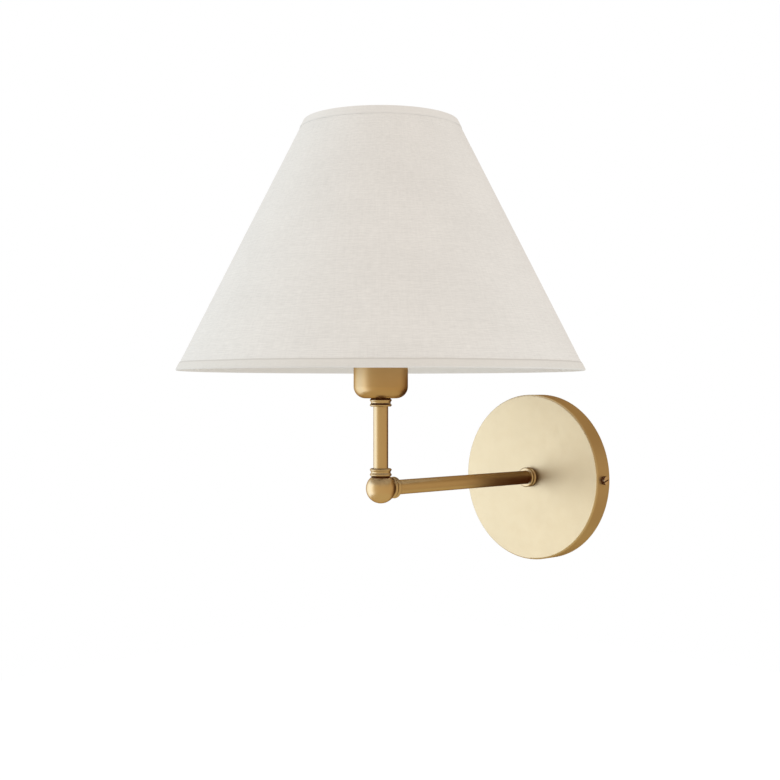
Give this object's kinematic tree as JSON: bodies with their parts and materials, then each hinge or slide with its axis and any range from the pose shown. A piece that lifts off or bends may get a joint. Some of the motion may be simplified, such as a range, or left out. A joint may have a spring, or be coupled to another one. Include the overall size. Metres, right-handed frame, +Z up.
{
  "type": "wall sconce",
  "caption": "Brass wall sconce: round backplate, straight arm, ball elbow, upright stem and conical linen shade; the shade and its ring turn, the lamp screws out.",
  "frame": {"origin": "centre of the backplate on the wall plane, midway between the two wall screws", "axes": "+Y into the wall, -Y out into the room along the arm, +Z up along the stem, +X to the right seen from the room"},
  "size_m": [0.272, 0.311, 0.3085],
  "materials": {
    "satin_brass": "satin, fine brushed, lacquered",
    "zinc_steel": "bright zinc plate",
    "contact_brass": "bare turned and stamped brass",
    "tinned_copper": "tinned copper, dull",
    "terminal_nylon": "natural nylon",
    "holder_plastic": "moulded, slight gloss",
    "holder_ceramic": "unglazed porcelain",
    "live_insulation": "brown PVC",
    "neutral_insulation": "blue PVC",
    "earth_insulation": "green and yellow PVC",
    "linen": "off-white slubbed linen on a stiff backing",
    "hem_linen": "off-white linen tape, folded",
    "frame_enamel": "white powder coat",
    "opal_glass": "opal white",
    "cap_metal": "rolled sheet",
    "cap_glass": "black, fused",
    "solder": "soldered tip"
  },
  "bodies": {
    "fixture": {"backplate": "satin_brass", "wall_collar": "satin_brass", "arm_tube": "satin_brass", "arm_collar": "satin_brass", "elbow_ball": "satin_brass", "stem_collar_lower": "satin_brass", "stem_tube": "satin_brass", "stem_collar_upper": "satin_brass", "socket_cup": "satin_brass", "wall_bracket": "zinc_steel", "earth_screw": "zinc_steel", "block_screw": "zinc_steel", "lock_washer": "zinc_steel", "nipple_nut": "zinc_steel", "wall_nipple": "zinc_steel", "arm_nipple": "zinc_steel", "stem_nipple_lower": "zinc_steel", "stem_nipple_upper": "zinc_steel", "terminal_barrels": "contact_brass", "clamp_screws": "contact_brass", "holder_pillars": "contact_brass", "holder_screws": "contact_brass", "screw_shell": "contact_brass", "centre_contact": "contact_brass", "earth_tags": "tinned_copper", "terminal_block": "terminal_nylon", "lampholder_cap": "holder_plastic", "lampholder_skirt": "holder_plastic", "lampholder_insert": "holder_ceramic", "live_wire": "live_insulation", "neutral_wire": "neutral_insulation", "earth_wire": "earth_insulation"},
    "shade": {"shade_panel": "linen", "bottom_hem": "hem_linen", "top_hem": "hem_linen", "bottom_rim_wire": "frame_enamel", "top_rim_wire": "frame_enamel", "fitter_ring": "frame_enamel", "shade_spokes": "frame_enamel"},
    "shade_ring": {"shade_ring": "holder_plastic"},
    "lamp_tip": {"tip_contact": "solder"},
    "lamp": {"lamp_glass": "opal_glass", "lamp_cap": "cap_metal", "cap_insulator": "cap_glass"},
    "set_screw_right": {"set_screw_right": "satin_brass"},
    "set_screw_left": {"set_screw_left": "satin_brass"}
  },
  "joints": [
    {"name": "shade_turn", "type": "hinge", "parent": "fixture", "child": "shade", "pos_m": [0, -0.175, 0.0971], "axis": [0, 0, 1], "continuous": true},
    {"name": "ring_turn", "type": "hinge", "parent": "fixture", "child": "shade_ring", "pos_m": [0, -0.175, 0.0987], "axis": [0, 0, 1], "range_deg": [0, 1080]},
    {"name": "lamp_lift", "type": "slide", "parent": "fixture", "child": "lamp_tip", "axis": [0, 0, 1], "range_m": [0, 0.01089]},
    {"name": "lamp_turn", "type": "hinge", "parent": "lamp_tip", "child": "lamp", "pos_m": [0, -0.175, 0.086], "axis": [0, 0, 1], "range_deg": [0, 1080]},
    {"name": "set_screw_right_turn", "type": "hinge", "parent": "fixture", "child": "set_screw_right", "pos_m": [0.0617, -0.007, 0], "axis": [-1, 0, 0], "range_deg": [0, 1350]},
    {"name": "set_screw_left_turn", "type": "hinge", "parent": "fixture", "child": "set_screw_left", "pos_m": [-0.0617, -0.007, 0], "axis": [1, 0, 0], "range_deg": [0, 1350]}
  ],
  "couplings": [
    {"joint": "lamp_turn", "follows": "lamp_lift", "rad_per_m": 1731.6}
  ]
}
